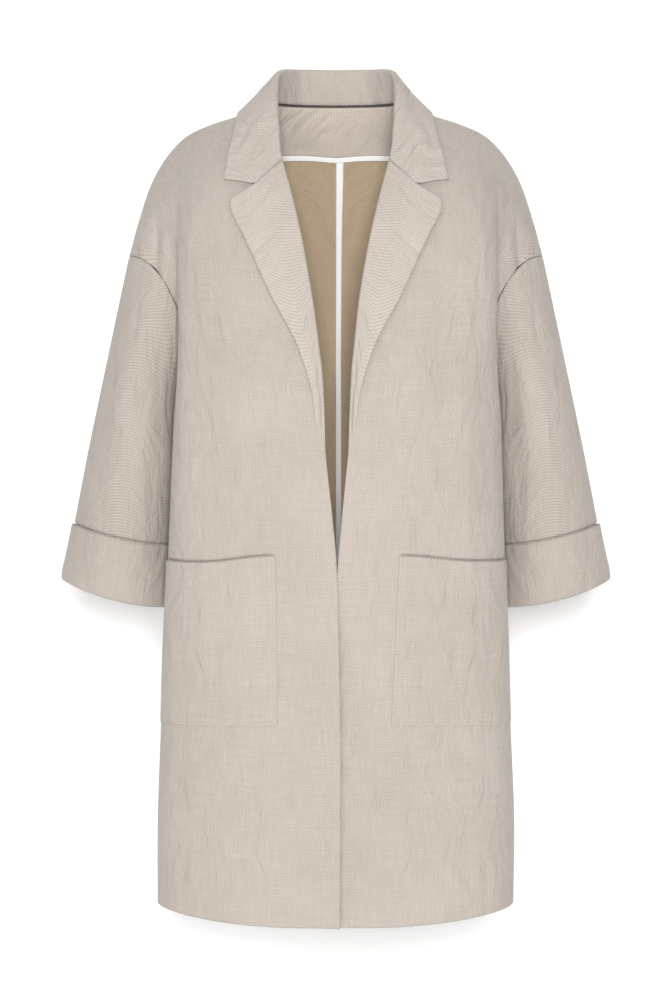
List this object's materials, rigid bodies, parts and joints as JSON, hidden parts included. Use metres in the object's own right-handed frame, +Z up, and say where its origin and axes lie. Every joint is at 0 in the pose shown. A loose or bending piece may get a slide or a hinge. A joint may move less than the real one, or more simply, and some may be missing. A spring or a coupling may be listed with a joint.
{
  "type": "overcoat",
  "caption": "Knee-length loose overcoat with notched lapels, dropped shoulders, wide sleeves with turned-back cuffs and patch pockets, standing open and empty as if worn.",
  "frame": {"origin": "centre of the neck opening at the level of the side neck points, where the wearer's shoulders carry the coat", "axes": "+Z up, the coat faces -Y, +X towards the wearer's left"},
  "size_m": [0.6674, 0.2614, 1.0187],
  "materials": {
    "coat_cloth": "matte two-tone woven cloth, beige outside and khaki inside",
    "white_binding": "matte white tape"
  },
  "bodies": {
    "root": {"front_left": "coat_cloth", "front_right": "coat_cloth", "back_left": "coat_cloth", "back_right": "coat_cloth", "sleeve_left": "coat_cloth", "sleeve_right": "coat_cloth", "cuff_left": "coat_cloth", "cuff_right": "coat_cloth", "collar": "coat_cloth", "lapel_left": "coat_cloth", "lapel_right": "coat_cloth", "back_neck_facing": "coat_cloth", "pocket_left": "coat_cloth", "pocket_right": "coat_cloth", "facing_binding": "white_binding", "centre_back_binding": "white_binding"}
  },
  "joints": []
}
